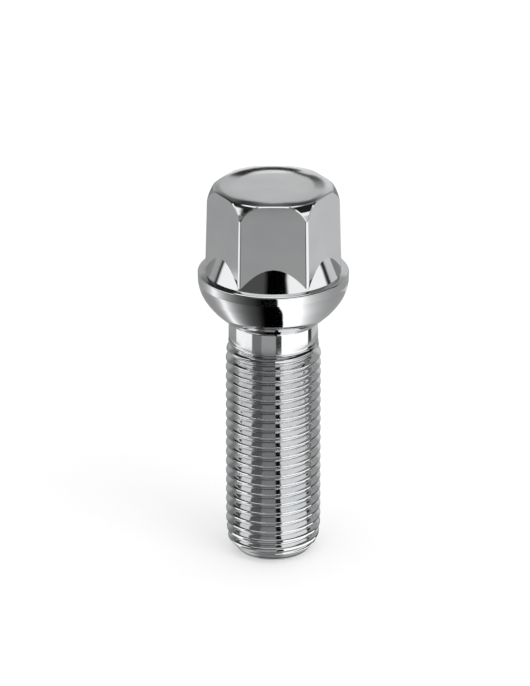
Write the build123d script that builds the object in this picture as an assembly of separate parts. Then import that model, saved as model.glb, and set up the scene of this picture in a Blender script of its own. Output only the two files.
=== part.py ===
from build123d import *
import os
from math import cos, radians, sin, tan

# A wheel bolt, forged in one piece: a hexagon head, a flange with a ball seat, a plain neck
# and a shank for the rolled thread. Millimetres. The axis is +Z, from the flat end of the
# shank at z = 0 to the top of the head.

# Shank
thread_diameter = 13.9
shank_length = 36.4
neck_depth = 0.425
neck_length = 1.9
neck_fillet = 0.2
runout_length = 3.3
lead_depth = 0.3
lead_length = 2.6
end_chamfer_height = 1.9
end_chamfer_deg = 39.0

# Hexagon head, measured across the flats at half its height
head_height = 13.0
hex_across_flats = 17.0
hex_draft_deg = 1.3
hex_edge_radius = 0.6
hex_sink = 1.0

# Crown, the turned top of the head: a flat disc, a very low cone, a tight turn and a slow one
crown_cone_width = 1.3
crown_slope_deg = 2.0
crown_turn_deg = 55.0
crown_turn_radius = 0.3
crown_side_radius = 5.5

# Collar, the steep cone under the hexagon, a step wider than its corners
collar_step = 0.1
collar_half_angle = 23.5
collar_sink = 1.0

# Flange: a flat ledge round the collar, a short rim, and a ball seat underneath whose radius
# is a margin larger than the rim's
ledge_width = 1.0
rim_height = 2.43
rim_edge_radius = 0.35
rim_blend_radius = 6.0
ball_margin = 1.0

# Radii, from the axis outwards
thread_r = thread_diameter / 2
neck_r = thread_r - neck_depth
lead_r = thread_r - lead_depth
end_r = lead_r - end_chamfer_height * tan(radians(end_chamfer_deg))
hex_apothem = hex_across_flats / 2
draft = tan(radians(hex_draft_deg))


def corner_radius(apothem):
    """Radius to a rounded edge of a hexagon with this apothem."""
    return (apothem - hex_edge_radius) / cos(radians(30)) + hex_edge_radius


collar_r = corner_radius(hex_apothem + draft * head_height / 2) + collar_step
flange_r = collar_r + ledge_width
ball_radius = flange_r + ball_margin

# Heights along the axis
neck_z = shank_length - neck_length
runout_z = neck_z - runout_length
seat_z = shank_length
ball_centre_z = seat_z + (ball_radius**2 - neck_r**2) ** 0.5
rim_z = ball_centre_z - (ball_radius**2 - flange_r**2) ** 0.5
ledge_z = rim_z + rim_height
top_z = ledge_z + head_height


def turned_body():
    """Shank, ball seat, flange and collar, turned about the axis."""
    collar_top_r = hex_apothem - collar_sink
    collar_top_z = ledge_z + (collar_r - collar_top_r) / tan(radians(collar_half_angle))
    with BuildPart() as body:
        with BuildSketch(Plane.XZ) as section:
            with BuildLine():
                shank = Polyline(
                    (0, 0),
                    (end_r, 0),
                    (lead_r, end_chamfer_height),
                    (thread_r, end_chamfer_height + lead_length),
                    (thread_r, runout_z),
                    (neck_r, neck_z),
                    (neck_r, seat_z),
                )
                seat = RadiusArc(shank @ 1, (flange_r, rim_z), -ball_radius)
                Polyline(
                    seat @ 1,
                    (flange_r, ledge_z),
                    (collar_r, ledge_z),
                    (collar_top_r, collar_top_z),
                    (0, collar_top_z),
                    (0, 0),
                )
            make_face()
            for corner, radius in (
                ((neck_r, seat_z), neck_fillet),
                ((flange_r, rim_z), rim_blend_radius),
                ((flange_r, ledge_z), rim_edge_radius),
            ):
                fillet(section.vertices().sort_by_distance(corner)[0], radius)
        revolve(axis=Axis.Z)
    return body.part


def crown_tool():
    """Everything under the turned crown, wide enough below it to leave the hexagon whole."""
    turn_width = crown_turn_radius * (sin(radians(crown_turn_deg)) - sin(radians(crown_slope_deg)))
    side_width = crown_side_radius * (1 - sin(radians(crown_turn_deg)))
    cone_r = corner_radius(hex_apothem) - side_width - turn_width
    disc_r = cone_r - crown_cone_width
    cone_z = top_z - crown_cone_width * tan(radians(crown_slope_deg))
    with BuildPart() as tool:
        with BuildSketch(Plane.XZ):
            with BuildLine():
                top = Polyline((0, top_z), (disc_r, top_z), (cone_r, cone_z))
                turn = JernArc(top @ 1, top % 1, crown_turn_radius, crown_slope_deg - crown_turn_deg)
                side = JernArc(turn @ 1, turn % 1, crown_side_radius, crown_turn_deg - 90)
                Polyline(
                    side @ 1,
                    (flange_r, (side @ 1).Y),
                    (flange_r, seat_z),
                    (0, seat_z),
                    (0, top_z),
                )
            make_face()
        revolve(axis=Axis.Z)
    return tool.part


def hexagon():
    """Drafted hexagon with rounded edges and one flat facing -Y, rooted in the flange."""
    root_z = ledge_z - hex_sink
    root_apothem = hex_apothem + draft * (head_height / 2 + hex_sink)
    with BuildPart() as head:
        with BuildSketch(Plane.XY.offset(root_z)):
            RegularPolygon(root_apothem, 6, major_radius=False)
        extrude(amount=top_z - root_z, taper=hex_draft_deg)
        fillet(head.edges().filter_by(GeomType.LINE).filter_by(Axis.Z, tolerance=5), hex_edge_radius)
    return head.part


wheel_bolt = turned_body() + (hexagon() & crown_tool())

os.makedirs("parts", exist_ok=True)
export_step(wheel_bolt, "parts/wheel_bolt.step")
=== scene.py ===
from math import atan2, cos, degrees, pi, radians, sin, sqrt, tan

import bpy
import numpy as np
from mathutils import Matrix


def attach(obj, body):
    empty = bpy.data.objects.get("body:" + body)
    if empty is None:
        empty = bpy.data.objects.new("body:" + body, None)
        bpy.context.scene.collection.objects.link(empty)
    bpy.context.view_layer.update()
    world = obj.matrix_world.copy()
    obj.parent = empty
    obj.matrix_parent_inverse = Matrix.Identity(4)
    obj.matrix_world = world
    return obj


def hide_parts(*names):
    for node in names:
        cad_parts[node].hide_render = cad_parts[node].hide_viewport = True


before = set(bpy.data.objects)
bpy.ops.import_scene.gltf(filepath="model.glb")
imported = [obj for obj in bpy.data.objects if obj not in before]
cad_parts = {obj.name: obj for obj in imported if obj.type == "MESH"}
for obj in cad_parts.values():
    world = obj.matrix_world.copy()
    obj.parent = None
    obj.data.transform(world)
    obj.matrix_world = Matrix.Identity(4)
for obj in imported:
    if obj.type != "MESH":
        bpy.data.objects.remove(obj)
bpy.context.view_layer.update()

# Wheel bolt: one piece of steel, its hexagon, collar, flange and ball seat cold forged and
# its thread rolled between dies, so the crests and roots are smooth. It is polished and
# plated with bright chrome from end to end.

# Sizes in millimetres, heights from the flat end of the shank
end_r, chamfer_z, lead_r, lead_z = 5.111, 1.9, 6.65, 4.5
thread_r, thread_depth, thread_pitch = 6.95, 0.92, 1.5
runout_z, root_z, neck_z, neck_r, seat_z = 31.2, 32.6, 33.3, 6.525, 36.4
neck_fillet, ball_r, rim_r, rim_blend, rim_edge = 0.2, 11.9925, 10.99246, 6.0, 0.35
ledge_z, collar_r, collar_slope = 44.098, 9.9925, tan(radians(23.5))
top_z, hex_apothem, hex_draft, hex_edge = 57.0977, 8.5, tan(radians(1.3)), 0.6
dome_r, brim_r, brim_slope = 4.6, 8.492, radians(3.2)
turn_r, turn_slope, side_r = 0.3, radians(55), 5.5
edge_down, edge_in, rim_crease = 0.1, 0.18, radians(-5)
ledge_slope, foot_slope = radians(5.5), radians(3.5)
beside_turn, foot_rise = 0.05, 0.05

# Columns round the axis, from -Y towards +X: short steps round the six edges, which widen
# evenly towards the middle of the flats
widening, half_steps, edge_steps = 1.27, 11, 6
flat_half = degrees(atan2((hex_apothem - hex_edge) * tan(radians(30)), hex_apothem))
from_edge = (widening**np.arange(half_steps + 1) - 1) / (widening**half_steps - 1) * flat_half
one_side = np.r_[from_edge[:-1] - flat_half, flat_half - from_edge[:0:-1],
                 np.linspace(flat_half, 60 - flat_half, edge_steps + 1)[:-1]]
turn = np.radians(np.concatenate([60 * side + one_side for side in range(6)]))
columns = len(turn)
off_flat = np.radians(np.abs((np.degrees(turn) + 30) % 60 - 30))
on_edge = np.degrees(off_flat) > flat_half - 1e-6


def arc(centre_r, centre_z, radius, start, end, steps):
    """Points of an arc in the bolt's half section, angles in radians from the outward side."""
    return [(centre_r + radius * cos(a), centre_z + radius * sin(a))
            for a in np.linspace(start, end, steps)]


def hexagon_r(z):
    """Radius of the drafted, round-edged hexagon in every column at height z."""
    apothem = hex_apothem - hex_draft * (z - (ledge_z + top_z) / 2)
    to_edge = radians(30) - off_flat
    centre = (apothem - hex_edge) / cos(radians(30))
    rounded = centre * np.cos(to_edge) + np.sqrt(
        np.maximum(hex_edge**2 - (centre * np.sin(to_edge))**2, 0))
    return np.where(on_edge, rounded, apothem / np.cos(off_flat))


def crossing(gap, low, high):
    """In every column, the value between low and high at which gap falls through zero."""
    halvings = 45
    low, high = np.full(columns, float(low)), np.full(columns, float(high))
    for _ in range(halvings):
        middle = (low + high) / 2
        beyond = gap(middle) <= 0
        low, high = np.where(beyond, low, middle), np.where(beyond, middle, high)
    return low


rows, crisp = [], []


def row(r, z, edge=False):
    """One ring of points up the bolt; edge marks a line that stays crisp."""
    if edge:
        crisp.append(len(rows))
    rows.append((np.broadcast_to(r, columns), np.broadcast_to(z, columns)))


# Flat end and the plain part of its chamfer
plain_z, end_ring = 1.0, 0.6
plain_r = end_r + (lead_r - end_r) * plain_z / chamfer_z
row(0, 0)
row(end_r * end_ring, 0)
row(end_r, 0, edge=True)
row(plain_r, plain_z)
foot_rows = len(rows)

# Neck, ball seat, rim, and the ledge, which falls away from the collar ever more steeply
past_fillet = 0.004
ball_z = seat_z + sqrt(ball_r**2 - neck_r**2)
fillet_z = ball_z - sqrt((ball_r + neck_fillet)**2 - (neck_r + neck_fillet)**2)
blend_z = ball_z - sqrt((ball_r - rim_blend)**2 - (rim_r - rim_blend)**2)
ball_start = atan2(fillet_z - ball_z, neck_r + neck_fillet)
ball_end = atan2(blend_z - ball_z, rim_r - rim_blend)
foot_z = ledge_z + foot_rise
rim_turn = rim_r - rim_edge
foot_r = collar_r - collar_slope * (foot_z - ledge_z)
ledge_width = rim_turn + rim_edge * sin(ledge_slope) - foot_r
ledge_drop = ledge_width * (tan(ledge_slope) + tan(foot_slope)) / 2
rim_top = foot_z - ledge_drop - rim_edge * cos(ledge_slope)
row(neck_r, neck_z)
row(neck_r, neck_z + beside_turn)
row(neck_r, fillet_z - beside_turn)
for r, z in (arc(neck_r + neck_fillet, fillet_z, neck_fillet, pi, pi + ball_start, 5)
             + arc(0, ball_z, ball_r, ball_start + past_fillet, ball_end, 22)
             + arc(rim_r - rim_blend, blend_z, rim_blend, ball_end, rim_crease, 10)[1:-1]):
    row(r, z)
row(*arc(rim_r - rim_blend, blend_z, rim_blend, rim_crease, 0, 2)[0], edge=True)
row(rim_r, rim_top, edge=True)
rim_arc = arc(rim_turn, rim_top, rim_edge, 0, pi / 2 - ledge_slope, 8)
for r, z in rim_arc[1:]:
    row(r, z)
outer_r, outer_z = rim_arc[-1]
for share in (0.08, 0.3, 0.5, 0.7, 0.9, 1.0):
    inward = ledge_width * share
    slope = tan(ledge_slope) + (tan(foot_slope) - tan(ledge_slope)) * share / 2
    row(outer_r - inward, outer_z + inward * slope, edge=share == 1)

# Collar cone, up to the arch where each flat cuts it
arch_most = 6
arch_z = crossing(lambda z: collar_r - collar_slope * (z - ledge_z) - hexagon_r(z),
                  ledge_z, ledge_z + arch_most)
for share in (0.35, 0.7):
    z = ledge_z + share * (arch_z - ledge_z)
    row(collar_r - collar_slope * (z - ledge_z), z)
row(hexagon_r(arch_z), arch_z, edge=True)

# Crown in section, from the foot of its side over a faint dome to its flat middle, by length
dome_rise = tan(brim_slope) / (brim_r - dome_r) / 2
dome = [(r, top_z - dome_rise * (r - dome_r)**2)
        for r in (brim_r, *np.linspace(brim_r - beside_turn, dome_r, 12))]
turn_z = dome[0][1] - turn_r * cos(brim_slope)
turn_c = brim_r - turn_r * sin(brim_slope)
side_c = turn_c + (turn_r - side_r) * sin(turn_slope)
side_z = turn_z + (turn_r - side_r) * cos(turn_slope)
crown = np.array(arc(side_c, side_z, side_r, 0, pi / 2 - turn_slope, 14)
                 + arc(turn_c, turn_z, turn_r, pi / 2 - turn_slope, pi / 2 - brim_slope, 8)[1:]
                 + dome[1:])
along = np.r_[0, np.cumsum(np.hypot(*np.diff(crown, axis=0).T))]


def crown_point(length):
    """Radius and height of the crown, at a length along its section."""
    return np.interp(length, along, crown[:, 0]), np.interp(length, along, crown[:, 1])


def over_hexagon(length):
    """How far the crown reaches past the hexagon, at a length along its section."""
    r, z = crown_point(length)
    return r - hexagon_r(z)


# Flats, the narrow bevel that breaks the edge on top of them, and the crown's turned rings
crown_ring = 0.5
edge_at = crossing(over_hexagon, 0, along[-1])
flat_top = crown_point(edge_at)[1] - edge_down
for share in (0.25, 0.5, 0.75):
    z = arch_z + share * (flat_top - arch_z)
    row(hexagon_r(z), z)
row(hexagon_r(flat_top), flat_top, edge=True)
row(*crown_point(edge_at + edge_in), edge=True)
for length in along[1:]:
    row(*crown_point(np.maximum(length, edge_at + edge_in)))
row(dome_r * crown_ring, top_z)
row(0, top_z)

points = [(r * np.sin(turn), -r * np.cos(turn), z) for r, z in rows]
index = np.arange(len(rows) * columns).reshape(len(rows), columns)
quads = []
for upper in range(1, len(rows)):
    if upper != foot_rows:
        low, high = index[upper - 1], index[upper]
        quads.append(np.c_[low, np.roll(low, -1), np.roll(high, -1), high])

# Rolled thread, one profile a pitch from root to root: (share of the pitch, share of the depth).
# Spare laps run past both ends, where the heights are held to the chamfer and the neck.
profile = [(0.0, 0.0), (0.06, 0.012), (0.105, 0.075), (0.2, 0.341), (0.31, 0.649), (0.42, 0.957),
           (0.436, 0.99), (0.452, 1.0), (0.548, 1.0), (0.564, 0.99), (0.58, 0.957), (0.69, 0.649),
           (0.8, 0.341), (0.895, 0.075), (0.94, 0.012)]
start_turn, spare_laps = 0.30, 2
laps = range(-spare_laps, int((neck_z - plain_z) / thread_pitch) + 2 * spare_laps)
phase = np.array([lap + share for lap in laps for share, _ in profile])
height = np.array([raised for _ in laps for _, raised in profile])
z = plain_z + thread_pitch * (phase[:, None] + start_turn + turn[None, :] / (2 * pi))
z = np.clip(z, plain_z, neck_z)
outline = np.interp(z, [0, chamfer_z, lead_z, runout_z, neck_z],
                    [end_r, lead_r, thread_r, thread_r, neck_r])
depth = np.interp(z, [root_z, neck_z], [thread_depth, thread_r - neck_r])
r = np.minimum(outline, thread_r - depth * (1 - height[:, None]))
points.append((r * np.sin(turn), -r * np.cos(turn), z))
helix = len(rows) * columns + np.arange(r.size).reshape(r.shape)
per_lap = len(profile)
beside = np.c_[helix[:-per_lap, 1:], helix[per_lap:, 0]]
low, high = helix[:-per_lap - 1], helix[1:-per_lap]
quads.append(np.c_[low.ravel(), beside[:-1].ravel(), beside[1:].ravel(), high.ravel()])

# Points that fall together are one point, and what is left of their squares is kept
weld_places, mm = 5, 0.001
cloud = np.concatenate([np.stack(np.broadcast_arrays(x, y, z), -1).reshape(-1, 3)
                        for x, y, z in points])
_, kept, welded = np.unique(np.round(cloud, weld_places), axis=0, return_index=True, return_inverse=True)
welded = welded.ravel()
faces = []
for quad in welded[np.concatenate(quads)].tolist():
    corners = [c for k, c in enumerate(quad) if c != quad[k - 1]]
    if len(set(corners)) > 2:
        faces.append(corners)
mesh = bpy.data.meshes.new("wheel_bolt_chromed")
mesh.from_pydata((cloud[kept] * mm).tolist(), [], faces)
mesh.validate()
mesh.shade_smooth()
crisp_pairs = {frozenset(pair) for k in crisp
               for pair in zip(welded[index[k]].tolist(), welded[np.roll(index[k], -1)].tolist())}
for edge in mesh.edges:
    edge.use_edge_sharp = frozenset(edge.vertices) in crisp_pairs
bolt = bpy.data.objects.new("wheel_bolt_chromed", mesh)
bpy.context.scene.collection.objects.link(bolt)


class Wire:
    """A socket of a node, with arithmetic that adds Math nodes."""

    def __init__(self, socket):
        self.socket, self.tree = socket, socket.id_data

    def node(self, kind, settings, inputs, output=0):
        """Adds a node of any kind: settings first, then values or wires for its sockets."""
        made = self.tree.nodes.new("ShaderNode" + kind)
        for name, value in settings.items():
            if name == "stops":
                for k, (at, tone) in enumerate(value):
                    stop = made.color_ramp.elements[k] if k < 2 else made.color_ramp.elements.new(at)
                    stop.position, stop.color = at, (tone, tone, tone, 1)
            else:
                setattr(made, name, value)
        for name, value in inputs.items():
            if isinstance(value, Wire):
                self.tree.links.new(value.socket, made.inputs[name])
            else:
                made.inputs[name].default_value = value
        return Wire(made.outputs[output])

    def math(self, operation, *values):
        """Adds a Math node."""
        return self.node("Math", {"operation": operation}, dict(enumerate(values)))

    def __add__(self, other):
        return self.math("ADD", self, other)

    def __radd__(self, other):
        return self.math("ADD", other, self)

    def __sub__(self, other):
        return self.math("SUBTRACT", self, other)

    def __rsub__(self, other):
        return self.math("SUBTRACT", other, self)

    def __mul__(self, other):
        return self.math("MULTIPLY", self, other)

    def __rmul__(self, other):
        return self.math("MULTIPLY", other, self)

    def __truediv__(self, other):
        return self.math("DIVIDE", self, other)

    def __rtruediv__(self, other):
        return self.math("DIVIDE", other, self)

    def step(self, low, high):
        """0 below low, 1 above high, and a smooth rise between them."""
        return self.node("MapRange", {"interpolation_type": "SMOOTHSTEP"},
                         {"Value": self, "From Min": low, "From Max": high})


# Bright chrome: neutral, with the faint unevenness of polished forged steel under the plate
chrome = bpy.data.materials.new("bright_chrome")
chrome.use_nodes = True
shader = chrome.node_tree.nodes["Principled BSDF"]
place = Wire(chrome.node_tree.nodes.new("ShaderNodeTexCoord").outputs["Object"])
cloudy = place.node("TexNoise", {}, {"Vector": place, "Scale": 160.0, "Detail": 3.0}, "Fac")
fine = place.node("TexNoise", {}, {"Vector": place, "Scale": 1500.0, "Detail": 2.0}, "Fac")
tint = place.node("Mix", {"data_type": "RGBA"},
                  {"Factor": cloudy.step(0.35, 0.65), "A": (0.60, 0.61, 0.62, 1),
                   "B": (0.64, 0.645, 0.65, 1)}, 2)
polish = 0.035 + 0.03 * cloudy + 0.02 * fine
dimple = place.node("Bump", {}, {"Strength": 0.02, "Distance": 0.0002, "Height": cloudy}, "Normal")
shader.inputs["Metallic"].default_value = 1.0
for name, wire in (("Base Color", tint), ("Roughness", polish), ("Normal", dimple)):
    chrome.node_tree.links.new(wire.socket, shader.inputs[name])
mesh.materials.append(chrome)
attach(bolt, "root")
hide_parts("wheel_bolt")

# Floor: a sheet of matt white paper, wide enough to be the background too. It shows as white
# to the eye and in the metal, and the bolt's soft shadow darkens it.
floor_half, floor_glow = 4, 0.3


def seen(tree):
    """1 for a ray from the eye, straight or by way of metal or glass, and 0 for one that lights."""
    rays = tree.nodes.new("ShaderNodeLightPath").outputs
    by_metal, by_glass = Wire(rays["Is Glossy Ray"]), Wire(rays["Is Transmission Ray"])
    return Wire(rays["Is Camera Ray"]) + by_metal + by_glass


paper = bpy.data.materials.new("white_paper")
paper.use_nodes = True
sheet_shader = paper.node_tree.nodes["Principled BSDF"]
sheet_shader.inputs["Base Color"].default_value = (0.8, 0.8, 0.8, 1)
sheet_shader.inputs["Roughness"].default_value = 1.0
sheet_shader.inputs["Specular IOR Level"].default_value = 0.0
sheet_shader.inputs["Emission Color"].default_value = (1, 1, 1, 1)
glow = floor_glow * seen(paper.node_tree)
paper.node_tree.links.new(glow.socket, sheet_shader.inputs["Emission Strength"])
floor_mesh = bpy.data.meshes.new("floor")
floor_corners = [(floor_half * x, floor_half * y, 0) for x, y in ((-1, -1), (1, -1), (1, 1), (-1, 1))]
floor_mesh.from_pydata(floor_corners, [], [(0, 1, 2, 3)])
floor_mesh.materials.append(paper)
floor = bpy.data.objects.new("floor", floor_mesh)
bpy.context.scene.collection.objects.link(floor)

# Reflector cards: what bright metal is photographed among, laid out for the camera's view and
# seen only in the metal. White, grey and black cards lie on the floor, a cone of them stands
# round the shank under the seat, and a tent of them all round.

# Sizes in metres, and how far the camera stands above level as seen from the head
card_z, floor_hole, tent_r, tent_z = 0.0003, 0.0052, 3.4, 0.055
cone_top, cone_foot = (0.0077, 0.03283), (0.0852, 0.00037)
view_rise = radians(21.13)


def card(name, points, faces, tone, one_sided=False):
    """A card seen only in reflections; tone makes its brightness from a place on it."""
    material = bpy.data.materials.new(name)
    material.use_nodes = True
    tree = material.node_tree
    tree.nodes.remove(tree.nodes["Principled BSDF"])
    spot = Wire(tree.nodes.new("ShaderNodeTexCoord").outputs["Object"])
    shown = spot.node("Emission", {}, {"Color": tone(spot)})
    if one_sided:
        behind = spot.node("NewGeometry", {}, {}, "Backfacing")
        clear = spot.node("BsdfTransparent", {}, {})
        shown = spot.node("MixShader", {}, {0: behind, 1: shown, 2: clear})
    tree.links.new(shown.socket, tree.nodes["Material Output"].inputs["Surface"])
    card_mesh = bpy.data.meshes.new(name)
    card_mesh.from_pydata(points, [], faces)
    card_mesh.materials.append(material)
    made = bpy.data.objects.new(name, card_mesh)
    bpy.context.scene.collection.objects.link(made)
    made.visible_camera = made.visible_diffuse = made.visible_shadow = False
    made.visible_transmission = made.visible_volume_scatter = False
    return made


def ring(*circles):
    """Points and faces of a card turned about the axis, from (radius, height) circles in metres."""
    sides = 72
    bearings = [2 * pi * k / sides for k in range(sides)]
    points = [(r * sin(a), -r * cos(a), z) for r, z in circles for a in bearings]
    faces = []
    for first in range(0, sides * (len(circles) - 1), sides):
        for k in range(sides):
            here, beyond = first + k, first + (k + 1) % sides
            faces.append((here, here + sides, beyond + sides, beyond))
    return points, faces


def ramp(wire, *stops):
    """Brightness along a value, from (value, brightness) stops with even slopes between them."""
    low, high = stops[0][0], stops[-1][0]
    share = wire.node("MapRange", {}, {"Value": wire, "From Min": low, "From Max": high})
    shares = [((at - low) / (high - low), tone) for at, tone in stops]
    return share.node("ValToRGB", {"stops": shares}, {"Fac": share}, "Color")


def bands(wire, *tones):
    """Cards side by side round the bolt: (bearing where each starts, brightness, half its join)."""
    stops = [(-180, tones[0][1])]
    for before, (at, tone, soft) in zip(tones, tones[1:]):
        stops += [(at - soft, before[1]), (at + soft, tone)]
    return ramp(wire, *stops, (180, tones[-1][1]))


def parts(spot):
    """The three parts of a place or direction."""
    across = spot.node("SeparateXYZ", {}, {"Vector": spot})
    return [Wire(socket) for socket in across.socket.node.outputs]


def blend(share, first, second):
    """The first tone where share is 0, the second where it is 1."""
    return first + (second - first) * share


def fading(wire, start, halving):
    """1 up to a start, and past it half as much every so many degrees."""
    return wire.math("MINIMUM", wire.math("POWER", 2, (start - wire) / halving), 1)


def seat_bands(left, right, past_edge):
    """What the ball seat shows: a bright stripe on the left that fades both ways, black in front,
    and white on the right that fades to grey."""
    stripe = 0.37 + 0.98 * fading(0 - left, 40.5, 3.1)
    dark = stripe * fading(left, -37.5, 5.5) * (1 - left.step(-13, -5))
    bright = 0.42 + 1.18 * fading(right, 22, 6.5)
    return blend(past_edge.step(-1, 1), dark, bright)


def floor_parts(spot):
    """Bearing of a place round the bolt in degrees, and its reach from the axis in millimetres."""
    x, y, _ = parts(spot)
    return degrees(1) * x.math("ARCTAN2", x, 0 - y), (1 / mm) * x.math("SQRT", x * x + y * y)


def seat_tone(spot):
    """The seat's bands, spread over the cone and the floor as the ball spreads them."""
    bearing, reach = floor_parts(spot)
    left = ramp(reach, (7.7, 1.564), (8.2, 1.8), (15, 1.79), (18, 1.87), (66, 2.16), (90, 2.35),
                (115, 2.65))
    right = ramp(reach, (7.7, 1.682), (8.2, 1.95), (12, 1.8), (18, 1.85), (66, 1.8), (115, 1.95))
    edge = ramp(reach, (7.7, 14.54), (8.3, 14.8), (12, 13.0), (18, 12.6), (25, 11.6), (40, 8.8),
                (60, 7.4), (103, 6.4), (115, 4.6))
    return seat_bands(bearing / left, bearing / right, bearing - edge)


def floor_tone(spot):
    """Cards on the floor, in rings outwards: for the chamfer, darkened next to the foot as a painted
    contact shadow, the thread, the neck, the seat, the hexagon, and what turns up from them."""
    bearing, reach = floor_parts(spot)
    under = bands(bearing, (-180, 0.5, 0), (-60, 0.75, 10), (-28, 0.27, 8), (14, 0.5, 6),
                  (70, 0.4, 10))
    # darker cards right next to the foot: a painted contact shadow, mirrored in the lowest part of the
    # chamfer
    under = under * ramp(reach, (5.2, 0.3), (5.45, 0.35), (5.65, 1.0), (8, 1.0))
    thread = bands(bearing, (-180, 0.33, 0), (-120, 0.17, 8), (-92, 1.6, 2), (-59, 0.22, 2),
                   (-29, 0.45, 2), (5.6, 0.01, 1), (17.7, 1.75, 1), (94, 0.03, 2), (130, 0.4, 6))
    thread = thread * ramp(reach, (8, 1.0), (40, 0.9), (85, 0.72))
    neck = bands(bearing, (-180, 0.43, 0), (-108, 1.4, 1), (-54.5, 0.25, 1), (-29, 0.46, 2),
                 (6.2, 0.01, 1), (20, 1.7, 1), (98.5, 0.05, 1), (113, 0.72, 2), (172, 0.5, 8))
    hexagon = bands(bearing, (-180, 0.48, 0), (-102, 1.4, 1), (-50, 0.27, 5), (-18, 0.45, 2),
                    (12, 0.01, 1), (27, 1.42, 1), (104, 0.75, 2), (172, 0.5, 8))
    tone = blend(reach.step(7.6, 8.4), under, thread)
    tone = blend(reach.step(82, 84.5), tone, neck)
    tone = blend(reach.step(96, 98), tone, seat_tone(spot))
    tone = blend(reach.step(122, 126), tone, hexagon)
    far = 0.72 * seat_bands(bearing / 2.65, bearing / 2.08, bearing - 4.4)
    return blend(reach.step(175, 180), tone, far)


def tent_tone(spot):
    """Cards of the tent, placed by the way metal faces that shows them: side from the front
    to the right, lift from level to straight up."""
    x, y, z = parts(spot.node("VectorMath", {"operation": "NORMALIZE"}, {0: spot}))
    near, up = cos(view_rise) - y, z + sin(view_rise)
    side = degrees(1) * x.math("ARCTAN2", x, near)
    lift = degrees(1) * x.math("ARCTAN2", up, x.math("SQRT", x * x + near * near))
    low = 0.11 + 0.75 * seat_bands(side * 0.755, side * 0.96, 2 * side - 4.4)
    tall = bands(side, (-180, 0.5, 0), (-59, 0.06, 1), (-55, 1.38, 1), (-31, 0.1, 1), (-6.5, 0.0, 2),
                 (12, 1.33, 1), (51.5, 0.03, 1), (57, 0.85, 1))
    wedge = bands(side, (-180, 0.5, 0), (-75, 0.3, 5), (-60, 1.35, 3), (-31, 0.02, 2), (-16, 0.25, 4),
                  (16, 0.02, 4), (62, 0.5, 5))
    shade = bands(side, (-180, 0.5, 0), (-75, 0.3, 5), (-60, 0.03, 3), (-16, 0.25, 4), (16, 0.02, 4),
                  (62, 0.5, 5))
    roof = bands(side, (-180, 0.5, 0), (-75, 0.25, 5), (-62, 0.03, 3), (-31, 1.45, 2), (10, 1.2, 3),
                 (27, 0.25, 4), (51, 0.43, 3), (75, 0.75, 4))
    brim = bands(side, (-180, 1.15, 0), (-117, 0.6, 4), (-95, 0.42, 5), (-72, 0.12, 10),
                 (-45, 0.03, 5), (-20, 0.15, 8), (20, 0.04, 6), (48, 0.1, 5), (58, 0.35, 4),
                 (70, 0.75, 5), (85, 0.92, 5), (138, 1.15, 4))
    lines = bands(side, (-180, 0.0, 0), (-117, 0.66, 3), (-20, 0.68, 5), (84, 0.36, 4), (100, 0.06, 6),
                  (138, 0.0, 3))
    inside = bands(side, (-180, 1.03, 0), (-136, 0.7, 5), (139, 1.12, 4))
    fall = degrees(1) * x.math("ARCTAN2", up, x.math("SQRT", 0.64 * x * x + near * near))
    outer = 88.6 - ramp(side, (-180, 1.3), (-90, 1.3), (-65, 1.15), (-55, 1.02), (-42, 0.64),
                        (-24, 0.5), (0, 0.7), (22, 0.65), (35, 1.0), (50, 1.25), (106, 1.25),
                        (116, 1.1), (124, 0.5), (134, 0.5), (138, 1.3), (180, 1.3))
    inner = 88.5 + ramp(side, (-180, 0), (-146, 0.05), (-132, 0.3), (-120, 0.3), (-114, 0), (112, 0),
                        (122, 0.3), (134, 0.3), (138, 0), (180, 0))
    tone = blend(lift.step(19.5, 20.5), low, tall)
    tone = blend(lift.step(24.6, 25.4), tone, wedge)
    tone = blend(lift.step(30, 32), tone, shade)
    tone = blend(lift.step(41, 45), tone, roof)
    tone = blend(fall.step(85.6, 86.2), tone, brim)
    tone = blend((fall - outer).step(-0.15, 0.15), tone, lines)
    tone = blend((fall - inner).step(-0.05, 0.05), tone, inside)
    return blend(fall.step(89.45, 89.65), tone, 0.7)


card("floor_cards", *ring((floor_hole, card_z), (tent_r, card_z)), floor_tone)
card("seat_card", *ring(cone_top, cone_foot), seat_tone, one_sided=True)
rises = np.radians(np.linspace(0.2, 89.9, 19))
tent_rings = [(tent_r * cos(rise), tent_r * sin(rise)) for rise in rises]
tent = card("tent_cards", *ring((tent_r, card_z - tent_z), *tent_rings), tent_tone)
tent.location.z = tent_z

# Light: an even white surround and one soft lamp above the right shoulder of the camera,
# which together light white paper to white.
surround = 0.85
world = bpy.data.worlds.new("white_surround")
bpy.context.scene.world = world
world.use_nodes = True
sky = world.node_tree.nodes["Background"]
sky.inputs["Color"].default_value = (1, 1, 1, 1)
strength = surround + (1 - surround) * seen(world.node_tree)
world.node_tree.links.new(strength.socket, sky.inputs["Strength"])
lamp = bpy.data.lights.new("soft_lamp", "AREA")
lamp.size, lamp.energy = 0.5, 1.4
lamp_object = bpy.data.objects.new("soft_lamp", lamp)
lamp_object.location = (0.45, -0.45, 0.7)
lamp_object.rotation_euler = (radians(42), 0, radians(45))
lamp_object.visible_glossy = False
bpy.context.scene.collection.objects.link(lamp_object)

# Camera: a long lens a little above the bolt, square to one flat of the hexagon.
elevation, distance, aim = radians(22.6), 0.893, (-0.00121, 0.0, 0.03248)
focal_pixels, picture_height, sensor = 6121.9, 686, 36.0
lens = bpy.data.cameras.new("camera")
lens.sensor_width, lens.lens = sensor, focal_pixels * sensor / picture_height
camera = bpy.data.objects.new("camera", lens)
camera.location = (aim[0], aim[1] - distance * cos(elevation), aim[2] + distance * sin(elevation))
camera.rotation_euler = (pi / 2 - elevation, 0, 0)
bpy.context.scene.collection.objects.link(camera)
bpy.context.scene.camera = camera
bpy.context.scene.view_settings.view_transform = "Standard"
